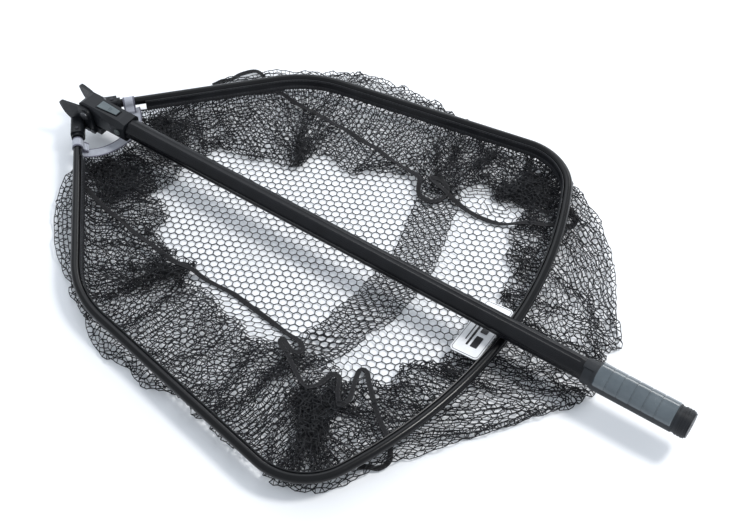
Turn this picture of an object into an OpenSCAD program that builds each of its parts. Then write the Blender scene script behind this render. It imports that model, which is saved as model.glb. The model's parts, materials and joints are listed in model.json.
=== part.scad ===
// Folding landing net, laid on the ground with its handle folded back over
// the hoop. Millimetres. +X runs from the head to the grip, +Z is up and
// z = 0 is the ground under the net. The origin is under the middle of the
// folded length, on the line of the handle.

/* [Hoop] */
// Outside radius of the bent hoop tube
tube_r = 6; // [5:0.5:7]
// Wall thickness of the hoop tube
tube_wall = 1.2; // [0.8:0.1:1.6]
// Distance from the head datum to the front of the hoop
hoop_front = 634.8; // [630:0.2:640]
// Where each side bend turns, along the length
side_x = 153; // [151:1:155]
// Where each side bend turns, across the width
side_y = 253; // [251:1:255]
// Where each front corner turns, along the length
corner_x = 549.5; // [548:0.5:551]
// Where each front corner turns, across the width
corner_y = 321; // [320:0.5:322]
// Bend radius at the sides
side_r = 153; // [140:1:160]
// Bend radius at the front corners
corner_r = 80; // [75:1:85]
// Angle between each arm and the centre line
arm_angle = 47.42; // [47.4:0.01:47.45]
// Height of the hoop tube's centre above the ground
hoop_z = 33; // [32.5:0.5:34]

/* [Head] */
// Hinge pin, distance behind the head datum
hinge_x = -45; // [-46:0.5:-44]
// Height of the hinge and the folded handle above the hoop's plane
axis_z = 20.5; // [20.5:0.5:22]
// Radius of the hinge pin
pin_r = 4; // [3.5:0.5:4]
// Half width of the head block at its nose
nose_w = 12.5; // [12:0.1:12.6]
// Half width of the head block at its collar
block_w = 17; // [16.5:0.1:17]
// Half height of the head block
block_h = 16.5; // [16.5:0.1:16.6]

/* [Handle] */
// Outside radius of the outer handle tube
outer_r = 14; // [13.9:0.05:14]
// Outside radius of the sliding inner tube
inner_r = 11.6; // [11.4:0.1:11.6]
// Radius of the grip
grip_r = 18; // [17:0.5:19]
// End of the handle, from the head datum
handle_end = 880; // [870:1:890]
// Radius of the cord hole in the end cap
cord_hole_r = 2.2; // [1.5:0.1:3]

/* [Net] */
// Thickness of the net cloth
net_t = 1; // [0.8:0.1:1.5]
// Steps round the net's loops
net_steps = 56; // [40:4:72]
// Width of the smooth band that lines the hoop
band_w = 15; // [12:0.5:15]

/* [Hidden] */
shift_x = (handle_end - 88.5) / 2; // head datum to the origin
a1 = arm_angle;
a2 = atan2(corner_y - side_y, corner_x - side_x);
u1 = [cos(a1), sin(a1)];
u2 = [cos(a2), sin(a2)];
n1 = [sin(a1), -cos(a1)];
n2 = [sin(a2), -cos(a2)];
// front arc through both corners and the foremost point
front_c = (hoop_front * hoop_front - corner_x * corner_x - corner_y * corner_y)
    / (2 * (hoop_front - corner_x));
front_r = hoop_front - front_c;
side_t = side_r * tan((a1 - a2) / 2);
v1 = [side_x, side_y];
v2 = [corner_x, corner_y];
side_c = v1 - side_t * u1 + side_r * n1;
q0 = v2 + corner_r * n2 - [front_c, 0];
qb = q0 * u2;
qs = -qb + sqrt(qb * qb - (q0 * q0 - pow(front_r - corner_r, 2)));
corner_c = v2 + corner_r * n2 + qs * u2;
front_a = atan2(corner_c.y, corner_c.x - front_c);
arm_start = [side_x - (side_y - 20) / tan(a1), 20];
corner_a = a2 + 90 - front_a;
side_len = norm(v2 + qs * u2 - v1) - side_t;
arm_len = norm(v1 - side_t * u1 - arm_start);
hinge_z = axis_z;
collar_x = 27;
mouth_x = 8;
button_x = 15;
plate_in = 13.2;          // inner face of the cheeks at the hinge
eps = 0.02;

// ---- helpers ----------------------------------------------------------
module place() { translate([-shift_x, 0, hoop_z]) children(); }
module both() { children(); mirror([0, 1, 0]) children(); }

// a straight of the given length, built back along +Y of the local frame;
// the profile's x is the offset outwards from the hoop, its y is height
module leg(r, len) {
    translate([r, len, 0]) rotate([90, 0, 0]) linear_extrude(len) children();
}
module arc(r, a) { rotate_extrude(angle = a, $fn = 120) translate([r, 0]) children(); }
// half the hoop: front arc, corner, side, side bend and arm, each laid out
// in the frame of the one before
module half_sweep(skip = 0) {
    difference() {
        translate([front_c, 0, 0]) rotate([0, 0, front_a]) {
            mirror([0, 1, 0]) arc(front_r, front_a + 0.2) children();
            translate([front_r - corner_r, 0, 0]) {
                arc(corner_r, corner_a) children();
                rotate([0, 0, corner_a]) {
                    leg(corner_r, side_len) children();
                    translate([corner_r - side_r, side_len, 0]) {
                        arc(side_r, a1 - a2) children();
                        rotate([0, 0, a1 - a2]) leg(side_r, arm_len - skip) children();
                    }
                }
            }
        }
        translate([hoop_front - 40, -20, -40]) cube([80, 20, 80]);
    }
}
module hoop_sweep(skip = 0) {
    half_sweep(skip) children();
    mirror([0, 1, 0]) half_sweep(skip) children();
}
module run(p, a, len) {
    translate([p.x, p.y, 0]) rotate([90, 0, a + 90])
        linear_extrude(len) children();
}
// a closed smooth loop through hand-set points
function spline(p, n) = let (m = len(p)) [for (i = [0:n - 1])
    let (t = i * m / n, k = floor(t), f = t - k,
        a = p[(k + m - 1) % m], b = p[k % m], c = p[(k + 1) % m], d = p[(k + 2) % m])
    0.5 * (2 * b + (c - a) * f + (2 * a - 5 * b + 4 * c - d) * f * f
        + (3 * b - a - 3 * c + d) * f * f * f)];
// sweep of a small section along 3-D points, closed at both ends
function unit(v) = v / norm(v);
function tube_points(path, r, k) = [for (i = [0:len(path) - 1])
    let (t = unit(path[min(i + 1, len(path) - 1)] - path[max(i - 1, 0)]),
        s = unit(cross(t, abs(t.z) > 0.9 ? [1, 0, 0] : [0, 0, 1])), w = cross(s, t))
    for (j = [0:k - 1]) path[i] + r * (cos(360 * j / k) * s + sin(360 * j / k) * w)];
module wire(path, r, k = 8) {
    n = len(path);
    polyhedron(tube_points(path, r, k), concat(
        [[for (j = [0:k - 1]) j]],
        [for (i = [0:n - 2]) for (j = [0:k - 1])
            [i * k + j, (i + 1) * k + j, (i + 1) * k + (j + 1) % k, i * k + (j + 1) % k]],
        [[for (j = [k - 1:-1:0]) (n - 1) * k + j]]));
}
module coil(r, wire_r, height, turns) {
    wire([for (i = [0:turns * 12]) [r * cos(30 * i), r * sin(30 * i),
        wire_r + (height - 2 * wire_r) * i / (turns * 12)]], wire_r, 6);
}
module round_rect(w, h, r) {
    union() {
        square([w - 2 * r, h], center = true);
        square([w, h - 2 * r], center = true);
        for (x = [-1, 1]) for (y = [-1, 1])
            translate([x * (w / 2 - r), y * (h / 2 - r)]) circle(r, $fn = 32);
    }
}
module bar_y(r, y0, y1) {
    translate([0, y1, 0]) rotate([90, 0, 0]) cylinder(r = r, h = y1 - y0, $fn = 48);
}
module bar_x(r, x0, x1, fn = 96) {
    translate([x0, 0, 0]) rotate([0, 90, 0]) cylinder(r = r, h = x1 - x0, $fn = fn);
}

// ---- hoop -------------------------------------------------------------
module hoop_tube() {
    color("#0c0d0f") place() difference() {
        hoop_sweep(0.3) difference() {
            circle(tube_r, $fn = 32);
            circle(tube_r - tube_wall, $fn = 24);
        }
        // rivet holes in the upper wall
        both() translate([arm_start.x + 22 * u1.x, arm_start.y + 22 * u1.y, 0])
            cylinder(r = 1.52, h = 12, $fn = 24);
    }
}
module rim_band() {
    color("#15161a") place() difference() {
        hoop_sweep(67) translate([-tube_r - 1.7, -12]) square([1.5, band_w]);
    }
}

// ---- yoke: one moulding for each arm, and the bridge that joins them ---
function bez(a, b, c, n = 8) = [for (i = [1:n]) let (t = i / n)
    (1 - t) * (1 - t) * a + 2 * t * (1 - t) * b + t * t * c];
module cheek_side() {
    polygon(concat([[-88.5, 25]], bez([-88.5, 25], [-84, 12], [-76, 5]),
        bez([-76, 5], [-70.5, 0], [-70, -9.5]), [[-33, -9.5], [-33, 8]],
        bez([-33, 8], [-33, 31], [-46, 31.5]),
        bez([-46, 31.5], [-66, 31], [-86, 29.5]), [[-88.5, 28]]));
}
module cheek_plan() {
    polygon([[-90, 17.9], [-80, 16.9], [-64, 14.6], [-54, plate_in], [-32, plate_in],
        [-32, 17.4], [-58, 17.6], [-70, 20.4], [-82, 22.6], [-90, 23]]);
}
module yoke_half() {
    difference() {
        union() {
            // cheek and horn
            intersection() {
                translate([0, 60, 0]) rotate([90, 0, 0]) linear_extrude(70) cheek_side();
                translate([0, 0, -12]) linear_extrude(60) cheek_plan();
            }
            // pin boss
            translate([hinge_x, 0, hinge_z]) bar_y(8.4, 16, 18.6);
            // arm socket: rounded box on the arm's line
            translate([arm_start.x, arm_start.y, 0]) rotate([90, 0, a1 + 90])
                translate([0, 0.4, -2]) linear_extrude(31) round_rect(19, 19.6, 5);
            // stepped nose of the socket
            translate([arm_start.x, arm_start.y, 0]) rotate([90, 0, a1 + 90])
                translate([0, 0, 28]) linear_extrude(5.5) circle(8.6, $fn = 48);
        }
        // arm bore
        translate([arm_start.x, arm_start.y, 0]) rotate([90, 0, a1 + 90])
            linear_extrude(60) circle(tube_r + 0.02, $fn = 48);
        // room for the head block's nose
        translate([-100, -plate_in, -20]) cube([80, 2 * plate_in, 60]);
        // hinge bore
        translate([hinge_x, 0, hinge_z]) bar_y(pin_r + 0.02, 10, 20);
        // rivet bore
        translate([arm_start.x + 22 * u1.x, arm_start.y + 22 * u1.y, -14])
            cylinder(r = 1.52, h = 28, $fn = 24);
        // side screw bores
        for (x = [-44, -36]) translate([x, 0, -5]) bar_y(1.62, 10, 22);
    }
}
module left_yoke() { color("#17181b") place() yoke_half(); }
module right_yoke() { color("#17181b") place() mirror([0, 1, 0]) yoke_half(); }
module yoke_bridge() {
    color("#141518") place() difference() {
        translate([-71, -plate_in, -9.5]) cube([47, 2 * plate_in, 10.5]);
        for (x = [-44, -36]) translate([x, 0, -5]) both() bar_y(1.5, 4, 14);
        translate([-50, -7, -9.6]) cube([4, 14, 4]);
        translate([-34, -7, -9.6]) cube([4, 14, 4]);
    }
}
module yoke_screws() {
    color("#8c8f94") place() for (x = [-44, -36]) translate([x, 0, -5]) both()
        difference() {
            union() { bar_y(1.49, 5, 17.7); bar_y(2.9, 17.7, 19.2); }
            bar_y(1.2, 18.4, 20);
        }
}
module socket_rivets() {
    color("#2a2b2e") place() both()
        translate([arm_start.x + 22 * u1.x, arm_start.y + 22 * u1.y, 0])
            union() {
                translate([0, 0, -4.4]) cylinder(r = 1.5, h = 14.6, $fn = 24);
                translate([0, 0, 10.2]) cylinder(r = 2.6, h = 1, $fn = 32);
            }
}
module hinge_pin() {
    color("#b9bcc0") place() translate([hinge_x, 0, hinge_z]) union() {
        bar_y(pin_r, -18.6, 20.2);
        bar_y(6.4, -20.4, -18.6);
    }
}
module pin_cap() {
    color("#b9bcc0") place() translate([hinge_x, 0, hinge_z]) difference() {
        bar_y(6.4, 18.6, 21.2);
        bar_y(pin_r, 18, 20.2);
    }
}
// cam on the pin that the latch bolt drops into when the handle is open
module lock_hub() {
    color("#9a9da1") place() translate([hinge_x, 0, hinge_z]) difference() {
        bar_y(8, -4, 4);
        bar_y(pin_r, -5, 5);
        translate([-9, -5, -3.2]) cube([3.2, 10, 6.4]);
    }
}

// ---- net bag ----------------------------------------------------------
rim_half = [[12, 0], [8, 34], [0, 72], [55, 135], [115, 202], [165, 238], [230, 254],
    [320, 270], [410, 285], [485, 298], [532, 292], [562, 262], [585, 205],
    [607, 130], [621, 62]];
floor_half = [[-18, 0], [-26, 62], [-20, 122], [12, 182], [76, 232], [150, 276], [240, 310],
    [345, 328], [430, 333], [510, 335], [570, 318], [624, 282], [668, 225],
    [712, 150], [748, 72]];
function mirrored(h, tip) = concat(h, [tip],
    [for (i = [len(h) - 1:-1:1]) [h[i].x, -h[i].y]]);
rim = spline(mirrored(rim_half, [625, 0]), net_steps);
edge = spline(mirrored(floor_half, [760, 0]), net_steps);
function mix(a, b, t) = a * (1 - t) + b * t;
// the wall's section, from the band down and out to the ground and back in
function wall_at(i) = let (r = rim[i], e = edge[i], d = unit(e - r + [0.001, 0]),
        f = e - 46 * d)
    [[r.x, r.y, -13.4], [mix(r, e, 0.35).x, mix(r, e, 0.35).y, -14.2],
        [mix(r, e, 0.75).x, mix(r, e, 0.75).y, -17], [e.x, e.y, -23.5],
        [e.x, e.y, -30], [e.x - 5 * d.x, e.y - 5 * d.y, -hoop_z],
        [f.x, f.y, -hoop_z], [f.x, f.y, -hoop_z + net_t],
        [e.x - 5.6 * d.x, e.y - 5.6 * d.y, -hoop_z + net_t],
        [e.x - net_t * d.x, e.y - net_t * d.y, -29.6],
        [e.x - net_t * d.x, e.y - net_t * d.y, -24],
        [mix(r, e, 0.74).x, mix(r, e, 0.74).y, -17 - net_t],
        [mix(r, e, 0.35).x, mix(r, e, 0.35).y, -14.2 - net_t],
        [r.x, r.y, -13.4 - net_t]];
module wall(from, to) {
    k = 14;
    n = to - from + 1;
    polyhedron([for (i = [from:to]) for (p = wall_at((i + net_steps) % net_steps)) p],
        concat([[for (j = [0:k - 1]) j]],
            [for (i = [0:n - 2]) for (j = [0:k - 1])
                [i * k + j, (i + 1) * k + j, (i + 1) * k + (j + 1) % k, i * k + (j + 1) % k]],
            [[for (j = [k - 1:-1:0]) (n - 1) * k + j]]), convexity = 8);
}
s4 = net_steps / 28;
module net_rear_wall() { color("#1b1d21") place() wall(-4 * s4, 4 * s4); }
module net_left_wall() { color("#1b1d21") place() wall(4 * s4, 11 * s4); }
module net_front_wall() { color("#1b1d21") place() wall(11 * s4, 17 * s4); }
module net_right_wall() { color("#1b1d21") place() wall(17 * s4, 24 * s4); }
module net_floor() {
    color("#1b1d21") place() translate([0, 0, -hoop_z]) linear_extrude(net_t)
        polygon([for (i = [0:net_steps - 1])
            let (p = wall_at(i)[6]) [p.x, p.y]]);
}
module seam_tapes() {
    color("#0e0f11") place() translate([0, 0, -hoop_z + net_t]) union() {
        translate([110, 196, 0]) rotate([0, 0, 2]) cube([440, 6.5, 1]);
        translate([150, -112, 0]) rotate([0, 0, -3]) cube([400, 6.5, 1]);
        translate([102, -96, 0]) rotate([0, 0, 90]) cube([280, 6.5, 1]);
        translate([590, -110, 0]) rotate([0, 0, 90]) cube([300, 6.5, 1]);
    }
}
module neck_strap() {
    color("#8f90a6") place() translate([-56, 0, -12.4]) rotate([0, 0, -61])
        rotate_extrude(angle = 122, $fn = 120) translate([55.5, 0]) square([17, 1.6]);
}
module strap_loop() {
    p = arm_start + 37 * u1;
    run(p, a1, 17) difference() {
        union() {
            square([17, 15.6], center = true);
            translate([-10.5, -1]) square([7, 2], center = true);
        }
        circle(tube_r + 0.1, $fn = 48);
        translate([8.5, 7.8]) circle(3, $fn = 24);
        translate([8.5, -7.8]) circle(3, $fn = 24);
        translate([-8.5, 7.8]) circle(3, $fn = 24);
        translate([-8.5, -7.8]) circle(3, $fn = 24);
    }
}
module left_strap_loop() { color("#8f90a6") place() strap_loop(); }
module right_strap_loop() { color("#8f90a6") place() mirror([0, 1, 0]) strap_loop(); }
module label_patch() {
    color("#e9eaec") place() translate([603, 0, -8.4]) rotate([0, -6, 0]) difference() {
        linear_extrude(1.6) round_rect(41, 92, 6);
        translate([0, 0, 1.1]) linear_extrude(2) difference() {
            round_rect(36, 87, 4);
            round_rect(34.4, 85.4, 3.4);
        }
    }
}

// ---- head block -------------------------------------------------------
module block_plan() {
    polygon([[-61, -nose_w + 2], [-61, nose_w - 2], [-59, nose_w], [-34, nose_w],
        [-20, 14.3], [2, block_w], [17, block_w], [collar_x, 15.6],
        [collar_x, -15.6], [17, -block_w], [2, -block_w], [-20, -14.3],
        [-34, -nose_w], [-59, -nose_w]]);
}
module block_side() {
    polygon(concat([[-61, 9.5]], bez([-61, 9.5], [-58.5, 14], [-52, block_h]),
        [[15, block_h], [collar_x, 14.9], [collar_x, -14.9], [16, -block_h + 0.6], [-52, -15.6]],
        bez([-52, -15.6], [-59, -14], [-61, -6])));
}
module block_section() {
    polygon([[-11, block_h], [11, block_h], [17, 8], [17, -9], [12.5, -15.8],
        [-12.5, -15.8], [-17, -9], [-17, 8]]);
}
// solid outer form about the handle's axis
module block_form() {
    intersection() {
        translate([0, 0, -20]) linear_extrude(40) block_plan();
        translate([0, 30, 0]) rotate([90, 0, 0]) linear_extrude(60) block_side();
        translate([-70, 0, 0]) rotate([90, 0, 90]) linear_extrude(120) block_section();
    }
}
module block_cuts() {
    // hinge bore for the bushes
    translate([hinge_x, 0, 0]) bar_y(6, -30, 30);
    // room for the lock hub and its bolt
    translate([hinge_x, 0, 0]) bar_y(8.6, -4.4, 4.4);
    translate([-40, -3.7, -3.6]) cube([32, 7.4, 7.2]);
    // inner tube seat and outer tube sleeve
    bar_x(inner_r + 0.01, -4, 30);
    bar_x(outer_r + 0.35, mouth_x - 1, 30);
    // cross pin
    translate([2, 0, 0]) bar_y(2.01, -30, 30);
    // stow buttons
    translate([button_x, 0, 0]) bar_y(4.55, -30, 30);
    // release button pocket and its spring well
    translate([-30.5, 0, 11.4]) linear_extrude(3.2) polygon([[0, -8.6], [0, 8.6],
        [26, 7.4], [26, -7.4]]);
    translate([-6, -7, 12.8]) cube([7.2, 14, 3]);
    translate([-30.5, 0, 13.9]) linear_extrude(6) polygon([[0, -8.6], [0, 8.6],
        [38, 6], [38, -6]]);
    translate([-18, 0, 6.4]) cylinder(r = 4.2, h = 8, $fn = 32);
    translate([-29.4, -2.7, 3]) cube([5.4, 5.4, 9]);
    // tail pivot of the release button
    translate([5, 0, 14.9]) bar_y(1.05, -9, 9);
    // screws
    for (x = [-32, -12]) for (y = [-9.6, 9.6]) translate([x, y, -12.5]) cylinder(r = 1.5, h = 22.5, $fn = 24);
}
module block_lower() {
    color("#1d1f22") place() translate([0, 0, hinge_z]) difference() {
        intersection() {
            block_form();
            translate([-80, -30, -30]) cube([140, 60, 30]);
        }
        block_cuts();
        for (x = [-32, -12]) for (y = [-9.6, 9.6]) translate([x, y, -20]) cylinder(r = 2.7, h = 7.7, $fn = 32);
    }
}
module block_upper() {
    color("#1f2124") place() translate([0, 0, hinge_z]) difference() {
        intersection() {
            block_form();
            translate([-80, -30, 0]) cube([140, 60, 30]);
        }
        block_cuts();
    }
}
module block_screws() {
    color("#8c8f94") place() translate([0, 0, hinge_z])
        for (x = [-32, -12]) for (y = [-9.6, 9.6]) translate([x, y, 0]) difference() {
            union() {
                translate([0, 0, -12.3]) cylinder(r = 1.49, h = 20, $fn = 24);
                translate([0, 0, -14.3]) cylinder(r = 2.6, h = 2, $fn = 32);
            }
            translate([0, 0, -14.4]) cylinder(r = 1.1, h = 1.2, $fn = 6);
        }
}
module hinge_bushes() {
    color("#c9c2a8") place() translate([hinge_x, 0, hinge_z]) both() difference() {
        union() { bar_y(5.99, 4.9, 12.4); bar_y(7, 12.5, 12.9); bar_y(5.99, 12.3, 12.6); }
        bar_y(pin_r + 0.05, 4, 14);
    }
}
module tube_pin() {
    color("#8c8f94") place() translate([2, 0, hinge_z]) bar_y(2, -16.6, 16.6);
}
module inner_tube() {
    color("#3b3d41") place() translate([0, 0, hinge_z]) difference() {
        bar_x(inner_r, -3.9, 712);
        bar_x(inner_r - 1.3, -5, 720);
        translate([2, 0, 0]) bar_y(2.01, -30, 30);
    }
}
// flanged bush on the far end of the inner tube, running in the outer tube
module glide_bush() {
    color("#c9c2a8") place() translate([0, 0, hinge_z]) difference() {
        union() { bar_x(12.35, 694, 716); }
        bar_x(inner_r + 0.01, 690, 712);
        bar_x(inner_r - 2.4, 690, 720);
    }
}
module latch_bolt() {
    color("#a9acb0") place() translate([0, 0, hinge_z]) difference() {
        translate([-36.7, -3.3, -3.2]) cube([16.9, 6.6, 6.4]);
        // ramp that the button's leg pushes on
        rotate([90, 0, 0]) linear_extrude(8, center = true)
            polygon([[-34, 3.6], [-34, 1.2], [-26.2, 1.2], [-23.8, 3.6]]);
    }
}
module latch_spring() {
    color("#b0b3b7") place() translate([-19.6, 0, hinge_z]) rotate([0, 90, 0])
        coil(2.2, 0.4, 11.2, 6);
}
module button_springs() {
    color("#b0b3b7") place() translate([0, 0, hinge_z]) union() {
        translate([-18, 0, 6.6]) coil(2.9, 0.35, 6.8, 4);
    }
}
module release_button() {
    color("#1c1e21") place() translate([0, 0, hinge_z]) union() {
        translate([-29.8, 0, 14.2]) linear_extrude(2.8) polygon([[0, -7.9], [0, 7.9],
            [36, 5.3], [36, -5.3]]);
        translate([-28.6, -2.2, 4.6]) cube([3, 4.4, 9.8]);
        translate([-22, -5, 13.6]) cube([8, 10, 0.8]);
        translate([5, 0, 14.9]) bar_y(0.95, -8.4, 8.4);
    }
}
module button_pad() {
    color("#5d6a70") place() translate([0, 0, hinge_z + 17]) union() {
        translate([-28.6, 0, 0]) linear_extrude(1) polygon([[0, -6.8], [0, 6.8],
            [33.6, 4.5], [33.6, -4.5]]);
        for (x = [-11.5, -8.5]) translate([x, -2.4, 1]) cube([1, 4.8, 0.5]);
    }
}
module stow_button() {
    translate([button_x, 0, hinge_z]) union() {
        bar_y(4.5, 15.9, 18.4);
        bar_y(3.6, 18.4, 19.1);
        bar_y(1.6, 15.6, 16);
    }
}
module left_stow_button() { color("#5c6662") place() stow_button(); }
module right_stow_button() { color("#5c6662") place() mirror([0, 1, 0]) stow_button(); }

// ---- handle -----------------------------------------------------------
module outer_tube() {
    color("#101114") place() translate([0, 0, hinge_z]) difference() {
        bar_x(outer_r, mouth_x, 866);
        bar_x(outer_r - 1.6, mouth_x - 1, 869);
        // long shallow grooves, open at the mouth and closed before the grip
        for (a = [0, 90, 180, 270]) rotate([a, 0, 0]) translate([0, 0, outer_r + 9.2])
            bar_x(10, mouth_x - 1, 736, 64);
    }
}
module mouth_bush() {
    color("#c9c2a8") place() translate([0, 0, hinge_z]) difference() {
        bar_x(outer_r - 1.6, mouth_x + 0.2, mouth_x + 26);
        bar_x(inner_r + 0.05, mouth_x, mouth_x + 27);
    }
}
module grip_body() {
    color("#23262a") place() translate([0, 0, hinge_z]) difference() {
        union() {
            bar_x(15.6, 744, 760);
            bar_x(17, 756, 866);
            bar_x(grip_r, 758, 862);
            // thumb rest on the neck
            intersection() {
                bar_x(17.2, 742, 760);
                translate([742, -7, 0]) cube([18, 14, 30]);
            }
        }
        bar_x(outer_r, 740, 867);
        // seat for the soft pad
        sector(151) polygon([[16.6, 760], [25, 760], [25, 860], [16.6, 860]]);
    }
}
// a profile of radius and length, turned through an angle over the top
module sector(a) {
    rotate([0, 90, 0]) rotate([0, 0, 180 - a / 2])
        rotate_extrude(angle = a, $fn = 120) children();
}
pad_grooves = [775, 791, 807, 823, 839];
module grip_pad() {
    color("#7d8c94") place() translate([0, 0, hinge_z]) sector(150.6)
        polygon(concat([[16.62, 760.1], [18.2, 760.1], [19, 761.2]],
            [for (x = pad_grooves) each [[19, x], [18.2, x + 0.2], [18.2, x + 1.6], [19, x + 1.8]]],
            [[19, 858.8], [18.2, 859.9], [16.62, 859.9]]));
}
module end_cap() {
    color("#14161a") place() translate([0, 0, hinge_z]) difference() {
        union() {
            bar_x(17.4, 866, handle_end - 2);
            bar_x(16, 866, handle_end);
            for (x = [866.5, 870, 873.5]) bar_x(18, x, x + 2.2);
            bar_x(outer_r - 1.62, 852, 867);
        }
        bar_x(5, 850, 868);
        bar_x(4.01, 866, 876.01);
        bar_x(cord_hole_r + 0.6, 870, handle_end + 1, 32);
        translate([860, -30, -30]) cube([30, 60, 13.2]);
    }
}
module cap_insert() {
    color("#2b2d31") place() translate([0, 0, hinge_z]) difference() {
        union() { bar_x(4, 866, 876, 48); bar_x(cord_hole_r + 0.59, 875.9, handle_end, 32); }
        bar_x(cord_hole_r, 860, handle_end + 1, 32);
    }
}

hoop_tube();
left_yoke();
right_yoke();
yoke_bridge();
yoke_screws();
socket_rivets();
hinge_pin();
pin_cap();
lock_hub();
rim_band();
net_floor();
net_left_wall();
net_right_wall();
net_front_wall();
net_rear_wall();
seam_tapes();
neck_strap();
left_strap_loop();
right_strap_loop();
label_patch();
block_lower();
block_upper();
block_screws();
hinge_bushes();
tube_pin();
inner_tube();
glide_bush();
latch_spring();
button_springs();
latch_bolt();
release_button();
button_pad();
left_stow_button();
right_stow_button();
outer_tube();
mouth_bush();
grip_body();
grip_pad();
end_cap();
cap_insert();
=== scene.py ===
"""Folding landing net: looks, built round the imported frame."""
import json
import math
import bpy
import numpy as np
from mathutils import Vector, Matrix


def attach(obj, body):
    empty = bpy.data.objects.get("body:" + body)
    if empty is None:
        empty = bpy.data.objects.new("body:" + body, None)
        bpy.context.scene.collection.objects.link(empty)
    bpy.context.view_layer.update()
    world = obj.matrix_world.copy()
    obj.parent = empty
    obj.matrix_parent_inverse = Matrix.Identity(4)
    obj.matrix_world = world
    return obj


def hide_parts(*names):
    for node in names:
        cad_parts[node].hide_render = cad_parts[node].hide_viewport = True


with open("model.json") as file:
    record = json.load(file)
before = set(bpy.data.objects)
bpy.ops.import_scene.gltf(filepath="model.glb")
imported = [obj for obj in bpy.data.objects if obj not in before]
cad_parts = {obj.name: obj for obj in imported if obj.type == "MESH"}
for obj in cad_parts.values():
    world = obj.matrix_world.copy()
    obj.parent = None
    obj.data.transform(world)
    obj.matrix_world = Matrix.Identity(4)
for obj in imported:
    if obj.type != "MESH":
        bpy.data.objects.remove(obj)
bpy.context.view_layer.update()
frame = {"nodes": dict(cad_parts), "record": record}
SHIFT = np.array([-395.75, 0.0, 33.0])      # design millimetres to the row frame


def M(p):
    """design millimetres -> row metres"""
    return (np.asarray(p, float) + SHIFT) / 1000.0


# ---------------------------------------------------------------- camera
AZ, EL, DIST = math.radians(34.8), math.radians(50.5), 1.55
target = Vector((0.03325, -0.003, 0.033))
back = Vector((math.sin(AZ) * math.cos(EL), -math.cos(AZ) * math.cos(EL), math.sin(EL)))
cd = bpy.data.cameras.new("cam")
cd.sensor_fit = 'HORIZONTAL'
cd.sensor_width = 36.0
cd.lens = 1200.0 / 732.0 * 36.0
cd.clip_start = 0.05
cd.clip_end = 50
cam = bpy.data.objects.new("cam", cd)
bpy.context.scene.collection.objects.link(cam)
cam.location = target + back * DIST
cam.rotation_mode = 'QUATERNION'
cam.rotation_quaternion = (-back).to_track_quat('-Z', 'Y')
bpy.context.scene.camera = cam

# ---------------------------------------------------------------- light and floor
scene = bpy.context.scene
scene.view_settings.view_transform = 'Standard'
scene.view_settings.look = 'None'
world = bpy.data.worlds.new("studio")
scene.world = world
world.use_nodes = True
bg = world.node_tree.nodes["Background"]
bg.inputs["Color"].default_value = (0.88, 0.935, 1.0, 1)
bg.inputs["Strength"].default_value = 0.9


def area(name, loc, size, energy, color=(1, 1, 1), aim=(0.03, 0, 0.02), size_y=None):
    ld = bpy.data.lights.new(name, 'AREA')
    ld.shape = 'RECTANGLE' if size_y else 'DISK'
    ld.size = size
    if size_y:
        ld.size_y = size_y
    ld.energy = energy
    ld.color = color
    o = bpy.data.objects.new(name, ld)
    scene.collection.objects.link(o)
    o.location = loc
    o.rotation_mode = 'QUATERNION'
    o.rotation_quaternion = (Vector(aim) - Vector(loc)).to_track_quat('-Z', 'Y')
    return o


area("key", (1.0, 0.6, 1.9), 0.5, 27, (1.0, 0.985, 0.96))
area("fill", (-1.2, 0.9, 1.5), 1.6, 9, (0.93, 0.96, 1.0))
area("rim_light", (-0.2, 1.7, 0.9), 1.2, 7, (1.0, 1.0, 1.0), size_y=0.4)

# ---------------------------------------------------------------- materials


def tree(name):
    m = bpy.data.materials.new(name)
    m.use_nodes = True
    nt = m.node_tree
    b = nt.nodes["Principled BSDF"]
    return m, nt, b


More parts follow.
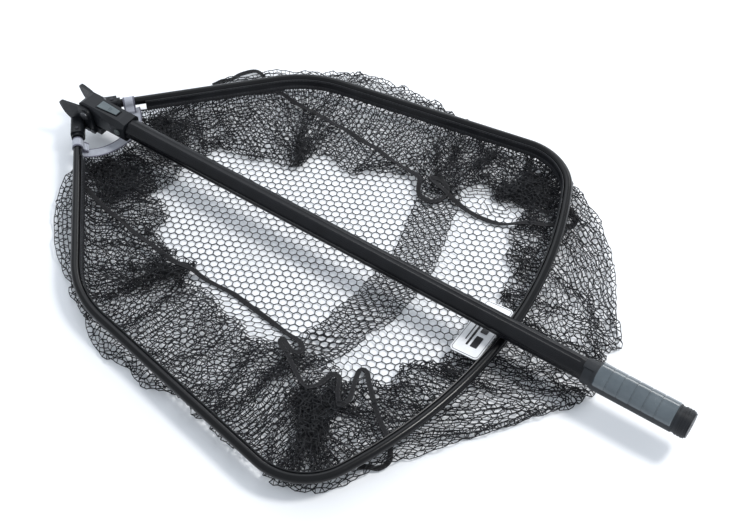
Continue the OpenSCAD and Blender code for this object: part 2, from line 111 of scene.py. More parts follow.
def finish_mat(name, c0, c1, rough=(0.4, 0.5), grain=0.0006, bump=0.15, depth=0.0002, metallic=0.0, coat=0.0, coat_rough=0.1,
               cloud=0.03, sheen=0.0, spec=0.5, wave=None, sub=0.0, scratch=0.0, trans=0.0, ior=1.5, fleck=0.0):
    """two-tone cloud colour, roughness variation, fine grain bump, optional directional weave or brushing"""
    m, nt, b = tree(name)
    N, L = nt.nodes, nt.links
    tc = N.new("ShaderNodeTexCoord")
    n1 = N.new("ShaderNodeTexNoise"); n1.inputs["Scale"].default_value = 1.0 / cloud; n1.inputs["Detail"].default_value = 6
    L.new(tc.outputs["Object"], n1.inputs["Vector"])
    n2 = N.new("ShaderNodeTexNoise"); n2.inputs["Scale"].default_value = 1.0 / grain; n2.inputs["Detail"].default_value = 3
    L.new(tc.outputs["Object"], n2.inputs["Vector"])
    ramp = N.new("ShaderNodeValToRGB")
    ramp.color_ramp.elements[0].position = 0.35
    ramp.color_ramp.elements[1].position = 0.68
    ramp.color_ramp.elements[0].color = (*c0, 1)
    ramp.color_ramp.elements[1].color = (*c1, 1)
    L.new(n1.outputs["Fac"], ramp.inputs["Fac"])
    col = ramp.outputs["Color"]
    if fleck:
        fr = N.new("ShaderNodeValToRGB")
        fr.color_ramp.elements[0].position = 0.42
        fr.color_ramp.elements[1].position = 0.62
        fr.color_ramp.elements[0].color = (1 - fleck, 1 - fleck, 1 - fleck, 1)
        fr.color_ramp.elements[1].color = (1, 1, 1, 1)
        L.new(n2.outputs["Fac"], fr.inputs["Fac"])
        mx = N.new("ShaderNodeMix"); mx.data_type = 'RGBA'; mx.blend_type = 'MULTIPLY'
        mx.inputs["Factor"].default_value = 1.0
        L.new(col, mx.inputs["A"]); L.new(fr.outputs["Color"], mx.inputs["B"])
        col = mx.outputs["Result"]
    height = n2.outputs["Fac"]
    if wave:
        axis, pitch, amount = wave
        w = N.new("ShaderNodeTexWave")
        w.wave_type = 'BANDS'; w.bands_direction = axis; w.wave_profile = 'SIN'
        w.inputs["Scale"].default_value = 1.0 / pitch / 3.14
        w.inputs["Distortion"].default_value = 0.4
        w.inputs["Detail"].default_value = 1
        L.new(tc.outputs["Object"], w.inputs["Vector"])
        mr = N.new("ShaderNodeValToRGB")
        mr.color_ramp.elements[0].color = (1 - amount, 1 - amount, 1 - amount, 1)
        mr.color_ramp.elements[1].color = (1, 1, 1, 1)
        L.new(w.outputs["Fac"], mr.inputs["Fac"])
        mx = N.new("ShaderNodeMix"); mx.data_type = 'RGBA'; mx.blend_type = 'MULTIPLY'
        mx.inputs["Factor"].default_value = 1.0
        L.new(col, mx.inputs["A"]); L.new(mr.outputs["Color"], mx.inputs["B"])
        col = mx.outputs["Result"]
        ad = N.new("ShaderNodeMath"); ad.operation = 'MULTIPLY_ADD'
        ad.inputs[1].default_value = 0.35
        L.new(n2.outputs["Fac"], ad.inputs[0]); L.new(w.outputs["Fac"], ad.inputs[2])
        height = ad.outputs[0]
    L.new(col, b.inputs["Base Color"])
    rr = N.new("ShaderNodeMapRange")
    rr.inputs["From Min"].default_value = 0.3
    rr.inputs["From Max"].default_value = 0.7
    rr.inputs["To Min"].default_value = rough[0]
    rr.inputs["To Max"].default_value = rough[1]
    if scratch:
        n3 = N.new("ShaderNodeTexNoise"); n3.inputs["Scale"].default_value = 90; n3.inputs["Detail"].default_value = 8
        mp = N.new("ShaderNodeMapping"); mp.inputs["Scale"].default_value = (1, 14, 14)
        L.new(tc.outputs["Object"], mp.inputs["Vector"]); L.new(mp.outputs["Vector"], n3.inputs["Vector"])
        L.new(n3.outputs["Fac"], rr.inputs["Value"])
    else:
        L.new(n1.outputs["Fac"], rr.inputs["Value"])
    L.new(rr.outputs["Result"], b.inputs["Roughness"])
    bp = N.new("ShaderNodeBump")
    bp.inputs["Strength"].default_value = bump
    bp.inputs["Distance"].default_value = depth
    L.new(height, bp.inputs["Height"])
    L.new(bp.outputs["Normal"], b.inputs["Normal"])
    b.inputs["Metallic"].default_value = metallic
    b.inputs["Coat Weight"].default_value = coat
    b.inputs["Coat Roughness"].default_value = coat_rough
    b.inputs["Sheen Weight"].default_value = sheen
    b.inputs["Specular IOR Level"].default_value = spec
    b.inputs["IOR"].default_value = ior
    if sub:
        b.inputs["Subsurface Weight"].default_value = sub
        b.inputs["Subsurface Radius"].default_value = (0.004, 0.005, 0.006)
        b.inputs["Subsurface Scale"].default_value = 0.5
    if trans:
        b.inputs["Transmission Weight"].default_value = trans
    return m


MAT = {
    "black_tube": finish_mat("black_tube", (0.0022, 0.0023, 0.0028), (0.004, 0.0042, 0.005), (0.17, 0.26), grain=0.0012, bump=0.05, spec=0.2, coat=0.04, coat_rough=0.1, scratch=1),
    "moulding": finish_mat("moulding", (0.0058, 0.0066, 0.0082), (0.0098, 0.011, 0.0135), (0.32, 0.44), spec=0.22, grain=0.0005, bump=0.35, depth=0.00012),
    "steel": finish_mat("steel", (0.1, 0.103, 0.112), (0.165, 0.168, 0.178), (0.3, 0.44), metallic=1, grain=0.0004, bump=0.1, scratch=1),
    "dark_steel": finish_mat("dark_steel", (0.03, 0.03, 0.034), (0.06, 0.06, 0.066), (0.3, 0.42), metallic=1, grain=0.0004, bump=0.1),
    "coated_band": finish_mat("coated_band", (0.0075, 0.008, 0.01), (0.013, 0.014, 0.017), (0.3, 0.44), grain=0.0007, bump=0.3, depth=0.00025, coat=0.15, coat_rough=0.35),
    "netting": finish_mat("netting", (0.0055, 0.006, 0.008), (0.0095, 0.0105, 0.0135), (0.5, 0.62), grain=0.0006, bump=0.5, depth=0.0002, cloud=0.05, spec=0.35),
    "tape": finish_mat("tape", (0.0055, 0.0055, 0.0068), (0.011, 0.011, 0.0135), (0.6, 0.8), grain=0.0005, bump=0.6, depth=0.0004, wave=('X', 0.0011, 0.35), sheen=0.05, spec=0.25),
    "webbing": finish_mat("webbing", (0.47, 0.49, 0.56), (0.60, 0.625, 0.70), (0.62, 0.8), grain=0.00045, bump=0.7, depth=0.0005, wave=('DIAGONAL', 0.0012, 0.3), sheen=0.15, spec=0.3, fleck=0.15),
    "webbing_edge": finish_mat("webbing_edge", (0.13, 0.13, 0.17), (0.19, 0.185, 0.24), (0.62, 0.8), grain=0.00045, bump=0.7, depth=0.0005, wave=('DIAGONAL', 0.0012, 0.3), sheen=0.1, spec=0.3),
    "label": finish_mat("label", (0.74, 0.755, 0.78), (0.84, 0.85, 0.87), (0.25, 0.38), grain=0.0008, bump=0.12, cloud=0.012, coat=0.25, coat_rough=0.2),
    "label_print": finish_mat("label_print", (0.012, 0.012, 0.014), (0.02, 0.02, 0.023), (0.35, 0.45), grain=0.0008, bump=0.12),
    "bush": finish_mat("bush", (0.5, 0.46, 0.36), (0.62, 0.58, 0.47), (0.4, 0.5), grain=0.0006, bump=0.15),
    "inner_alloy": finish_mat("inner_alloy", (0.07, 0.07, 0.078), (0.11, 0.11, 0.12), (0.25, 0.4), metallic=0.9, grain=0.0005, bump=0.08, scratch=1),
    "soft_pad": finish_mat("soft_pad", (0.07, 0.09, 0.098), (0.105, 0.13, 0.138), (0.42, 0.56), grain=0.0004, bump=0.35, depth=0.00015, sub=0.05),
    "stow": finish_mat("stow", (0.06, 0.075, 0.07), (0.085, 0.1, 0.092), (0.42, 0.55), grain=0.0005, bump=0.25),
    "anodised": finish_mat("anodised", (0.0036, 0.0039, 0.005), (0.0062, 0.0066, 0.0084), (0.24, 0.34), spec=0.2, grain=0.0009, bump=0.06, scratch=1),
    "grip_rubber": finish_mat("grip_rubber", (0.0125, 0.0145, 0.0175), (0.019, 0.022, 0.026), (0.42, 0.56), spec=0.25, grain=0.00045, bump=0.5, depth=0.00018),
    "clear_pad": finish_mat("clear_pad", (0.05, 0.066, 0.078), (0.072, 0.092, 0.106), (0.18, 0.28), grain=0.0006, bump=0.12, coat=0.7, coat_rough=0.1, sub=0.06, cloud=0.02),
    "cap_plastic": finish_mat("cap_plastic", (0.0085, 0.0095, 0.0118), (0.0135, 0.015, 0.018), (0.36, 0.5), spec=0.25, grain=0.0005, bump=0.3, depth=0.00012),
    "thread": finish_mat("thread", (0.03, 0.03, 0.034), (0.06, 0.06, 0.066), (0.5, 0.6), grain=0.0003, bump=0.4, depth=0.0001),
    "thread_pale": finish_mat("thread_pale", (0.42, 0.42, 0.48), (0.55, 0.55, 0.6), (0.5, 0.6), grain=0.0003, bump=0.4, depth=0.0001),
}
slots_of = {s["node"]: s["material_slot"] for s in frame["record"]["subparts"]}
for node, o in frame["nodes"].items():
    m = MAT[slots_of[node]]
    if not o.material_slots:
        o.data.materials.append(m)
    for i in range(len(o.material_slots)):
        o.material_slots[i].material = m

floor_mat = finish_mat("paper_floor", (0.86, 0.875, 0.9), (0.88, 0.893, 0.915), (0.85, 0.9), grain=0.002, bump=0.02, spec=0.1, cloud=0.4)
fm = bpy.data.meshes.new("floor")
S = 14.0
fm.from_pydata([(-S, -S, -0.0006), (S, -S, -0.0006), (S, S, -0.0006), (-S, S, -0.0006)], [], [(0, 1, 2, 3)])
floor_obj = bpy.data.objects.new("floor", fm)
scene.collection.objects.link(floor_obj)
fm.materials.append(floor_mat)

# ---------------------------------------------------------------- mesh helpers


def mesh_obj(name, verts, faces, mats, index=None, smooth=True, sharp=None):
    """verts in design mm (n,3); faces a list or an (n,4)/(n,3) array or a pair of arrays"""
    me = bpy.data.meshes.new(name)
    v = M(verts)
    if isinstance(faces, tuple):
        loops = np.concatenate([f.ravel() for f in faces]).astype(np.int32)
        tot = np.concatenate([np.full(len(f), f.shape[1]) for f in faces]).astype(np.int32)
        me.vertices.add(len(v))
        me.vertices.foreach_set("co", v.astype(np.float32).ravel())
        me.loops.add(len(loops))
        me.loops.foreach_set("vertex_index", loops)
        me.polygons.add(len(tot))
        me.polygons.foreach_set("loop_start", np.concatenate([[0], np.cumsum(tot)[:-1]]).astype(np.int32))
        me.update(calc_edges=True)
    else:
        me.from_pydata([tuple(x) for x in v], [], [tuple(int(i) for i in f) for f in faces])
        me.update()
    me.validate()
    if smooth:
        me.polygons.foreach_set("use_smooth", np.ones(len(me.polygons), bool))
    for m in mats:
        me.materials.append(MAT[m])
    if index is not None:
        me.polygons.foreach_set("material_index", np.asarray(index, np.int32))
    if sharp:
        me.set_sharp_from_angle(angle=math.radians(sharp))
    o = bpy.data.objects.new(name, me)
    scene.collection.objects.link(o)
    return o


def strands(name, A, B, r, mat, tip=0.8, k=4, seed=0):
    """many short round strands between points A and B, each closed with pointed ends"""
    d = B - A
    ln = np.linalg.norm(d, axis=1, keepdims=True)
    keep = ln[:, 0] > 0.4
    A, B, d, ln = A[keep], B[keep], d[keep], ln[keep]
    r = np.broadcast_to(np.asarray(r, float), (len(keep),))[keep][:, None]
    d = d / ln
    up = np.where(np.abs(d[:, 2:3]) > 0.9, [[1.0, 0, 0]], [[0, 0, 1.0]])
    s = np.cross(d, up); s /= np.linalg.norm(s, axis=1, keepdims=True)
    w = np.cross(s, d)
    n = len(A)
    V = np.zeros((n, 2 * k + 2, 3))
    for j in range(k):
        a = 2 * math.pi * (j + 0.5) / k
        off = r * (math.cos(a) * s + math.sin(a) * w)
        V[:, j] = A + d * 0.15 + off
        V[:, k + j] = B - d * 0.15 + off
    V[:, 2 * k] = A - d * tip
    V[:, 2 * k + 1] = B + d * tip
    base = (np.arange(n) * (2 * k + 2))[:, None]
    quads = np.concatenate([base + np.array([[j, (j + 1) % k, k + (j + 1) % k, k + j]]) for j in range(k)])
    tris = np.concatenate([base + np.array([[(j + 1) % k, j, 2 * k]]) for j in range(k)] +
                          [base + np.array([[k + j, k + (j + 1) % k, 2 * k + 1]]) for j in range(k)])
    return mesh_obj(name, V.reshape(-1, 3), (quads, tris), [mat])


def sweep(name, path, side, up, prof, mats, closed=False, index=None, cap=True, sharp=50):
    """a closed profile (n,2) carried along path with side and up vectors at each point"""
    path, side, up = (np.asarray(x, float) for x in (path, side, up))
    n, k = len(path), len(prof)
    V = path[:, None, :] + side[:, None, :] * prof[None, :, 0, None] + up[:, None, :] * prof[None, :, 1, None]
    V = V.reshape(-1, 3)
    F, I = [], []
    for i in range(n if closed else n - 1):
        a, b = i * k, ((i + 1) % n) * k
        for j in range(k):
            F.append((a + j, b + j, b + (j + 1) % k, a + (j + 1) % k))
            I.append(index[j] if index is not None else 0)
    if not closed and cap:
        F.append(tuple(range(k))); I.append(0)
        F.append(tuple((n - 1) * k + j for j in range(k - 1, -1, -1))); I.append(0)
    o = mesh_obj(name, V, F, mats, I, sharp=sharp)
    return o

# ---------------------------------------------------------------- hoop path, design mm
def hoop_points(off=0.0, step=4.0):
    a1=np.radians(47.42); V1=np.array([153.,253.]); V2=np.array([549.5,321.])
    a2=np.arctan2(V2[1]-V1[1],V2[0]-V1[0])
    u1=np.array([np.cos(a1),np.sin(a1)]); u2=np.array([np.cos(a2),np.sin(a2)])
    n1=np.array([np.sin(a1),-np.cos(a1)]); n2=np.array([np.sin(a2),-np.cos(a2)])
    hf=634.8; fc=(hf**2-V2[0]**2-V2[1]**2)/(2*(hf-V2[0])); fr=hf-fc
    st=153*np.tan((a1-a2)/2); sc=V1-st*u1+153*n1
    q0=V2+80*n2-np.array([fc,0]); qb=q0@u2; qs=-qb+np.sqrt(qb*qb-(q0@q0-(fr-80)**2))
    cc=V2+80*n2+qs*u2; fa=np.arctan2(cc[1],cc[0]-fc)
    p0=np.array([153-233/np.tan(a1),20.])
    out=[]
    def line(p,q):
        n=max(2,int(np.linalg.norm(q-p)/step)); t=np.linspace(0,1,n,endpoint=False)[:,None]; d=(q-p)/np.linalg.norm(q-p)
        nn=np.array([-d[1],d[0]]); out.append(p+(q-p)*t+nn*off)
    def arc(c,r,a,b):
        n=max(2,int(abs(a-b)*r/step)); t=np.linspace(a,b,n,endpoint=False); out.append(c+(r+off)*np.stack([np.cos(t),np.sin(t)],1))
    line(p0,V1-st*u1); arc(sc,153,a1+np.pi/2,a2+np.pi/2); line(V1+st*u2,V2+qs*u2); arc(cc,80,a2+np.pi/2,fa); arc(np.array([fc,0]),fr,fa,0)
    h=np.concatenate(out); h=np.vstack([h,[[hf+off,0]]])
    m=h[::-1][1:].copy(); m[:,1]*=-1
    return np.vstack([h,m])      # from left(+y) arm end round the front to the right(-y) arm end


# the bag's outline on the ground, design mm, from the front middle round by the left
OUTLINE = np.array([(768,30),(757,80),(742,118),(718,162),(690,204),(658,246),(618,270),(585,296),(540,322),(470,328),(400,330),(365,334),(303,347),(215,347),(174,336),(142,316),(90,286),(50,268),(18,246),(-10,182),(-24,124),(-20,62),(2,25),(0,-20),(-30,-52),(-46,-92),(-44,-134),(2,-176),(40,-202),(84,-231),(146,-266),(230,-301),(300,-300),(380,-298),(460,-318),(530,-330),(578,-300),(616,-215),(656,-178),(682,-150),(714,-112),(736,-66),(752,-28)], float)
FOLD = [34, 58, 84, 110, 165, 122, 100, 118, 130, 138, 165, 128]      # how far the wall falls in under the rim, mm

# ---- netting: flat honeycomb cloth, hung from the rim and left to settle ----
CELL = 11.0                       # mm between cell centres
WALL = dict(f=430.0, b=340.0, l=480.0, r=510.0)
PLEAT = 68.0
RECT = (112.0, 592.0 + 2 * PLEAT, -122.0, 196.0)
LOW = -33.0


def arclen(p):
    q = np.vstack([p, p[:1]])
    return q, np.concatenate([[0], np.cumsum(np.linalg.norm(np.diff(q, axis=0), axis=1))])


def at(q, s, x):
    x = np.mod(x, s[-1])
    return np.stack([np.interp(x, s, q[:, k]) for k in range(q.shape[1])], -1)


def smooth_loop(p, n):
    p = np.asarray(p, float)
    m = len(p)
    i = np.arange(n) * m / n
    k = np.floor(i).astype(int)
    f = (i - k)[:, None]
    a, b, c, d = p[(k - 1) % m], p[k % m], p[(k + 1) % m], p[(k + 2) % m]
    return 0.5 * (2 * b + (c - a) * f + (2 * a - 5 * b + 4 * c - d) * f ** 2 + (3 * b - a - 3 * c + d) * f ** 3)


def waves(u, v, seed, lo, hi, n=9):
    r = np.random.default_rng(seed)
    lam, th, ph = r.uniform(lo, hi, n), r.uniform(0, 2 * np.pi, n), r.uniform(0, 2 * np.pi, n)
    o = np.zeros_like(u)
    for k in range(n):
        o += np.sin(2 * np.pi / lam[k] * (u * np.cos(th[k]) + v * np.sin(th[k])) + ph[k])
    return o / np.sqrt(n / 2)


def nearest_param(q, s, pts):
    """arc length on the closed line q of the point nearest to each of pts"""
    out = []
    for p in np.atleast_2d(pts):
        a, d = q[:-1], np.diff(q, axis=0)
        t = np.clip(((p - a) * d).sum(1) / np.maximum((d * d).sum(1), 1e-9), 0, 1)
        e = np.linalg.norm(a + d * t[:, None] - p, axis=1)
        k = e.argmin()
        out.append(s[k] + t[k] * (s[k + 1] - s[k]))
    return np.array(out)


def unwrap(x, L):
    x = np.array(x, float)
    x[0] = x[0] if x[0] < L / 2 else x[0] - L
    for i in range(1, len(x)):
        while x[i] < x[i - 1] - 1e-6:
            x[i] += L
    return x


def pleat(u, v):
    """where the floor panel's point lies: the panel is folded over itself in one band"""
    xr = np.interp(v, [-260, -125, -35, 60, 175, 320], [455, 474, 498, 497, 462, 430])
    x = np.where(u < xr, u, np.where(u < xr + PLEAT, 2 * xr - u, u - 2 * PLEAT))
    k = np.clip((u - xr) / 4, 0, 1) + np.clip((u - xr - PLEAT) / 4, 0, 1)
    lay = np.where(u < xr - 2, 0, np.where(u < xr + PLEAT, 1.5, np.clip(3.0 - (u - xr - PLEAT * 1.9) / 12, 0, 3)))
    band = np.clip((u - xr) / 8, 0, 1) * np.clip((xr + 1.9 * PLEAT - u) / 10, 0, 1)
    return x, lay, band


def settle(rounds=2600, seed=11):
    U0, U1, V0, V1 = RECT
    hp = hoop_points(-7.8, 3.0)
    hp = hp[(hp[:, 0] > -14)]
    h = len(hp) // 2
    ang = np.radians(np.linspace(57, -57, 30))
    strap = np.stack([-56 + 66 * np.cos(ang), 66 * np.sin(ang)], 1)
    rq, rs = arclen(np.vstack([hp[:h + 1][::-1], strap, hp[h + 1:][::-1]]))
    oq, os_ = arclen(smooth_loop(OUTLINE, 700))
    # flat pattern's outer edge, from the front middle round by the left
    th = np.linspace(0, 2 * np.pi, 721)[:-1]
    vm = (V0 + V1) / 2
    seg = [np.array([[U1 + WALL['f'], vm]])]
    def corner(cu, cv, a0, a1, wu, wv):
        t = np.linspace(a0, a1, 60)
        return np.stack([cu + wu * np.cos(t), cv + wv * np.sin(t)], 1)
    pb = np.vstack([np.array([[U1 + WALL['f'], vm]]), corner(U1, V1, 0, np.pi / 2, WALL['f'], WALL['l']),
                    corner(U0, V1, np.pi / 2, np.pi, WALL['b'], WALL['l']),
                    corner(U0, V0, np.pi, 1.5 * np.pi, WALL['b'], WALL['r']),
                    corner(U1, V0, 1.5 * np.pi, 2 * np.pi, WALL['f'], WALL['r'])])
    pq, ps = arclen(pb)
    c45 = np.cos(np.pi / 4)
    anchors = [(U1 + WALL['f'], vm), (U1 + WALL['f'] * c45, V1 + WALL['l'] * c45), (U1 - 40, V1 + WALL['l']), ((U0 + U1) / 2, V1 + WALL['l']), (U0 + 60, V1 + WALL['l']),
               (U0 - WALL['b'] * c45, V1 + WALL['l'] * c45), (U0 - WALL['b'], vm), (U0 - WALL['b'] * c45, V0 - WALL['r'] * c45), (U0 + 60, V0 - WALL['r']), ((U0 + U1) / 2, V0 - WALL['r']), (U1 - 40, V0 - WALL['r']),
               (U1 + WALL['f'] * c45, V0 - WALL['r'] * c45)]
    rim_at = [(627, 0), (578, 252), (505, 302), (352, 278), (170, 240), (60, 140), (10, 0), (60, -140), (170, -240), (352, -278), (505, -302), (578, -252)]
    out_at = [(768, 30), (640, 256), (520, 325), (340, 338), (160, 308), (20, 215), (5, 0), (-22, -140), (150, -246), (340, -286), (520, -330), (640, -205)]
    pa = unwrap(nearest_param(pq, ps, anchors), ps[-1])
    ra = unwrap(nearest_param(rq, rs, rim_at), rs[-1])
    oa = unwrap(nearest_param(oq, os_, out_at), os_[-1])
    def mapped(x, src, dst, Ls, Ld):
        x = np.mod(x - src[0], Ls) + src[0]
        return np.interp(x, np.append(src, src[0] + Ls), np.append(dst, dst[0] + Ld))
    # honeycomb graph
    e = CELL / np.sqrt(3)
    t0 = np.radians(-5.0)
    dl = [e * np.array([np.cos(t0 + k * 2 * np.pi / 3), np.sin(t0 + k * 2 * np.pi / 3)]) for k in range(3)]
    a1, a2 = dl[0] - dl[1], dl[0] - dl[2]
    N = 190
    I, J = np.meshgrid(np.arange(-N, N), np.arange(-N, N), indexing='ij')
    A = I[..., None] * a1 + J[..., None] * a2 + np.array([350.0, 35.0])
    B = A + dl[0]
    idA = np.arange(A[..., 0].size).reshape(I.shape)
    idB = idA + idA.size
    pts = np.vstack([A.reshape(-1, 2), B.reshape(-1, 2)])
    def tpar(p):
        du = np.where(p[:, 0] > U1, (p[:, 0] - U1) / WALL['f'], np.where(p[:, 0] < U0, (U0 - p[:, 0]) / WALL['b'], 0))
        dv = np.where(p[:, 1] > V1, (p[:, 1] - V1) / WALL['l'], np.where(p[:, 1] < V0, (V0 - p[:, 1]) / WALL['r'], 0))
        return np.hypot(du, dv), du, dv
    t, du, dv = tpar(pts)
    inside = t <= 1.0
    ed = [np.stack([idA.ravel(), idB.ravel()], 1),
          np.stack([idA[1:].ravel(), idB[:-1].ravel()], 1),
          np.stack([idA[:, 1:].ravel(), idB[:, :-1].ravel()], 1)]
    for _ in range(2):
        ed = [x[inside[x[:, 0]] & inside[x[:, 1]]] for x in ed]
        deg = np.bincount(np.concatenate([x.ravel() for x in ed]), minlength=len(pts))
        inside &= deg >= 2
    ed = [x[inside[x[:, 0]] & inside[x[:, 1]]] for x in ed]
    deg = np.bincount(np.concatenate([x.ravel() for x in ed]), minlength=len(pts))
    new = -np.ones(len(pts), int)
    keep = np.where(inside)[0]
    new[keep] = np.arange(len(keep))
    ed = [new[x] for x in ed]
    uv = pts[keep]
    t, du, dv = t[keep], du[keep], dv[keep]
    deg = deg[keep]
    pin = (deg < 3) & (t > 0.9)
    # where each point starts: floor panel -> ground outline -> rim
    near = np.stack([np.clip(uv[:, 0], U0, U1), np.clip(uv[:, 1], V0, V1)], 1)
    px, lay, band = pleat(near[:, 0], near[:, 1])
    bd = near + np.where(t[:, None] > 1e-6, (uv - near) / np.maximum(t[:, None], 1e-6), 0)
    # param on pattern edge of the boundary point bd
    K = len(pb)
    par = np.zeros(len(uv))
    w = t > 0
    q = bd[w]
    a, d = pq[:-1], np.diff(pq, axis=0)
    best = np.full(len(q), 1e9)
    bp = np.zeros(len(q))
    dd = np.maximum((d * d).sum(1), 1e-9)
    for k in range(len(a)):
        tt = np.clip(((q - a[k]) @ d[k]) / dd[k], 0, 1)
        er = ((a[k] + tt[:, None] * d[k] - q) ** 2).sum(1)
        m = er < best
        best[m] = er[m]
        bp[m] = ps[k] + tt[m] * (ps[k + 1] - ps[k])
    par[w] = bp
    ph = waves(par, t * 300, seed + 1, 60, 140, 6) * 9.0 * t
    rpar = mapped(par, pa, ra, ps[-1], rs[-1])
    rpos = at(rq, rs, rpar)
    tan = at(rq, rs, rpar + 6) - at(rq, rs, rpar - 6)
    inw = np.stack([-tan[:, 1], tan[:, 0]], 1) / np.linalg.norm(tan, axis=1)[:, None]
    deep = mapped(par, pa, pa, ps[-1], ps[-1])
    deep = np.interp(np.mod(deep - pa[0], ps[-1]), np.append(pa - pa[0], ps[-1]), FOLD + FOLD[:1])
    deep = deep * (1 + 0.16 * waves(par, par * 0, seed + 20, 70, 200, 6))
    ipos = rpos + inw * deep[:, None]
    opos = at(oq, os_, mapped(par + ph, pa, oa, ps[-1], os_[-1]))
    r3 = np.column_stack([rpos, np.full(len(uv), -12.6)])
    o3 = np.column_stack([opos, np.full(len(uv), LOW + 6.0)])
    i3 = np.column_stack([ipos, np.full(len(uv), LOW + 10.0)])
    f3 = np.column_stack([px, near[:, 1], LOW + 1.0 + lay])
    L1, L2, L3 = (np.linalg.norm(x, axis=1) for x in (o3 - f3, i3 - o3, r3 - i3))
    Lt = L1 + L2 + L3
    b1, b2 = (L1 / Lt)[:, None], ((L1 + L2) / Lt)[:, None]
    T = t[:, None]
    g1, g2, g3 = (np.clip(x, 0, 1) for x in (T / b1, (T - b1) / (b2 - b1), (T - b2) / (1 - b2)))
    P = f3 + (o3 - f3) * g1 + (i3 + [0, 0, 0] - o3) * g2 + (r3 - i3) * g3
    layer = np.clip((T - b1) / 0.04, 0, 1)[:, 0] + np.clip((T - b2) / 0.04, 0, 1)[:, 0]
    u, v = uv[:, 0], uv[:, 1]
    hold = np.ones(len(u))
    fade = np.clip(t / 0.18, 0, 1) * np.clip((1 - t) / 0.08, 0, 1)
    P[:, 0] += fade * (11 * waves(u, v, seed + 2, 45, 120) + 4.0 * waves(u, v, seed + 3, 18, 36))
    P[:, 1] += fade * (11 * waves(u, v, seed + 4, 45, 120) + 4.0 * waves(u, v, seed + 5, 18, 36))
    lift = np.clip(0.5 + 0.5 * waves(u, v, seed + 6, 30, 75), 0, 1.6) + 0.35 * np.clip(waves(u, v, seed + 7, 14, 26), -1, 1)
    floor = LOW + 0.8 + np.clip(t / 0.10, 0, 1) * np.clip(lift, 0, 2) * 6.5 + np.where(t == 0, 0.35 * (1 + waves(u, v, seed + 8, 50, 120)), 0).clip(0, 1.2)
    floor += 2.6 * layer + lay * (t < 0.3) + band * 0.8 * (1 + waves(u, v, seed + 12, 20, 44))
    # fold band across the middle of the panel
    for uc, vc, su, sv, amp, sd in ((575, V0 - 8, 70, 50, 6, 31), (330, V0 - 30, 30, 20, 6, 35), (520, V1 + 12, 46, 30, 9, 33), (140, V1 + 30, 50, 50, 3, 36)):
        wgt = amp * np.exp(-((u - uc) ** 2 / (2 * su ** 2) + (v - vc) ** 2 / (2 * sv ** 2)))
        P[:, 0] += wgt * waves(u, v, seed + sd, 42, 85, 5)
        P[:, 1] += wgt * waves(u, v, seed + sd + 1, 42, 85, 5)
        hold = np.minimum(hold, 1 - np.clip(wgt / 6, 0, 1))
    jit = band * 2.2
    P[:, 0] += jit * waves(u, v, seed + 13, 14, 30)
    P[:, 1] += jit * waves(u, v, seed + 14, 14, 30)
    P[:, 2] = np.maximum(P[:, 2], floor + 0.5) + fade * 3.0 * np.abs(waves(u, v, seed + 9, 25, 60))
    hang = np.clip((t - 0.86) / 0.14, 0, 1)
    floor = floor * (1 - hang) + (LOW + 0.8) * hang
    # distance to the hoop's centre line, on a grid
    hc = hoop_points(0.0, 2.5)
    gx, gy = np.arange(-80, 660, 2.0), np.arange(-350, 352, 2.0)
    gd = np.full((len(gx), len(gy)), 99.0)
    gnx, gny = np.zeros_like(gd), np.zeros_like(gd)
    for c in hc:
        i0, j0 = int((c[0] - 14 + 80) / 2), int((c[1] - 14 + 350) / 2)
        sl = (slice(max(i0, 0), i0 + 15), slice(max(j0, 0), j0 + 15))
        xx, yy = np.meshgrid(gx[sl[0]] - c[0], gy[sl[1]] - c[1], indexing='ij')
        dist = np.hypot(xx, yy)
        m = dist < gd[sl]
        gd[sl][m] = dist[m]
        gnx[sl][m] = (xx / np.maximum(dist, 1e-3))[m]
        gny[sl][m] = (yy / np.maximum(dist, 1e-3))[m]
    free = (~pin).astype(float)
    P[pin] = r3[pin]
    home = P.copy()
    panel = (t < 0.02)
    W = free.copy()
    anchor = (t < 0.001)
    # vertex triples for a weak bending limit
    nb = -np.ones((len(uv), 3), int)
    for c, x in enumerate(ed):
        nb[x[:, 0], c] = x[:, 1]
        nb[x[:, 1], c] = x[:, 0]
    full = np.where((nb >= 0).all(1))[0]
    tri = [(nb[full, i], nb[full, j]) for i, j in ((0, 1), (1, 2), (0, 2))]
    # the pairs of a triple are one third of second neighbours; each pairing is conflict free per sublattice
    isA = keep[full] < idA.size
    cols = []
    for x, y in tri:
        for s_ in (isA, ~isA):
            cols.append((x[s_], y[s_]))
    ec = [(x[:, 0], x[:, 1]) for x in ed]
    ecw = []
    for x, y in ec:
        ws = np.maximum(W[x] + W[y], 1e-6)
        ecw.append((x, y, (W[x] / ws)[:, None], (W[y] / ws)[:, None]))
    rows = []
    for x, y in cols:
